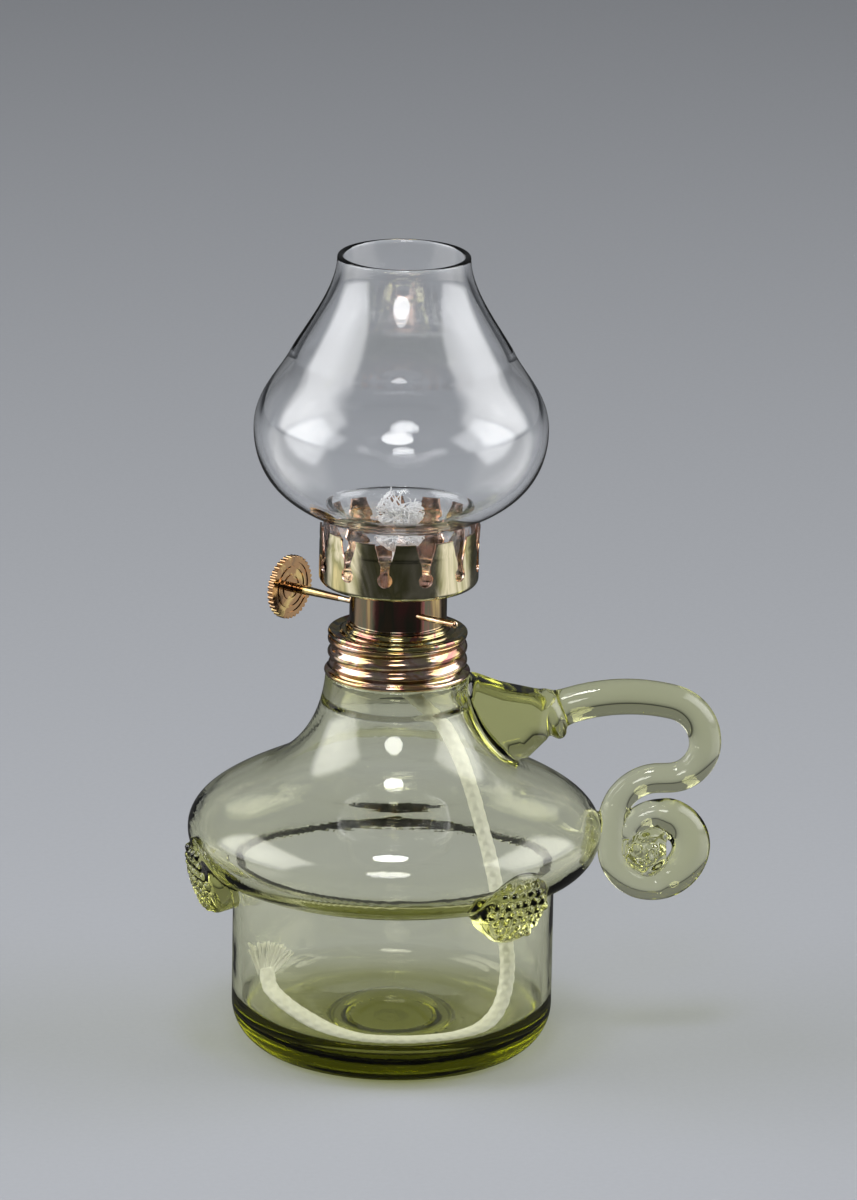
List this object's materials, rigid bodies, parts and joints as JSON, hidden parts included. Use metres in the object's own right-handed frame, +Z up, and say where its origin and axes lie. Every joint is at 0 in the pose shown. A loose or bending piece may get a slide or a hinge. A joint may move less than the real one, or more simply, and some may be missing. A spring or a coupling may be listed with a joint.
{
  "type": "kerosene lamp",
  "caption": "Miniature kerosene finger lamp with a blown glass fount, scroll handle, raspberry prunts, screw burner with pronged gallery and onion chimney.",
  "frame": {"origin": "centre of the flat face under the foot, on the lamp's axis", "axes": "+Z up along the lamp's axis, +X out through the handle"},
  "size_m": [0.1121, 0.0852, 0.1682],
  "materials": {
    "green_glass": "clear olive-green blown glass, fire polished",
    "clear_glass": "clear thin blown glass, fire polished",
    "plated_metal": "polished yellow plating on thin pressed metal, with faint rainbow tints",
    "tube_brass": "plain drawn brass",
    "shaft_metal": "drawn wire with thin yellow plating",
    "cement": "matt plaster",
    "wick_cotton": "braided white cotton"
  },
  "bodies": {
    "fount": {"fount": "green_glass", "handle": "green_glass", "handle_gather": "green_glass", "prunt_left": "green_glass", "prunt_front": "green_glass", "collar": "plated_metal", "collar_cement": "cement", "wick_tail": "wick_cotton", "tail_fringe": "wick_cotton"},
    "burner": {"burner_base": "plated_metal", "drum": "plated_metal", "air_plate": "plated_metal", "wick_tube": "tube_brass", "gallery": "plated_metal"},
    "knob": {"thumb_wheel": "plated_metal", "wick_shaft": "shaft_metal", "feed_wheel": "tube_brass"},
    "wick": {"wick": "wick_cotton", "wick_tuft": "wick_cotton"},
    "chimney": {"chimney": "clear_glass"}
  },
  "joints": [
    {"name": "burner_lift", "type": "slide", "parent": "fount", "child": "burner", "axis": [0, 0, 1], "range_m": [0, 0.03], "deforming": ["wick_tail"]},
    {"name": "knob_turn", "type": "hinge", "parent": "burner", "child": "knob", "pos_m": [-0.00325, -0.00325, 0.0945], "axis": [0.7071, -0.7071, 0], "range_deg": [-90, 75]},
    {"name": "wick_slide", "type": "slide", "parent": "burner", "child": "wick", "axis": [0, 0, 1], "range_m": [-0.0046, 0.0038]},
    {"name": "chimney_lift", "type": "slide", "parent": "burner", "child": "chimney", "axis": [0, 0, 1], "range_m": [0, 0.04]}
  ],
  "couplings": [
    {"joint": "knob_turn", "follows": "wick_slide", "rad_per_m": 336.7}
  ]
}
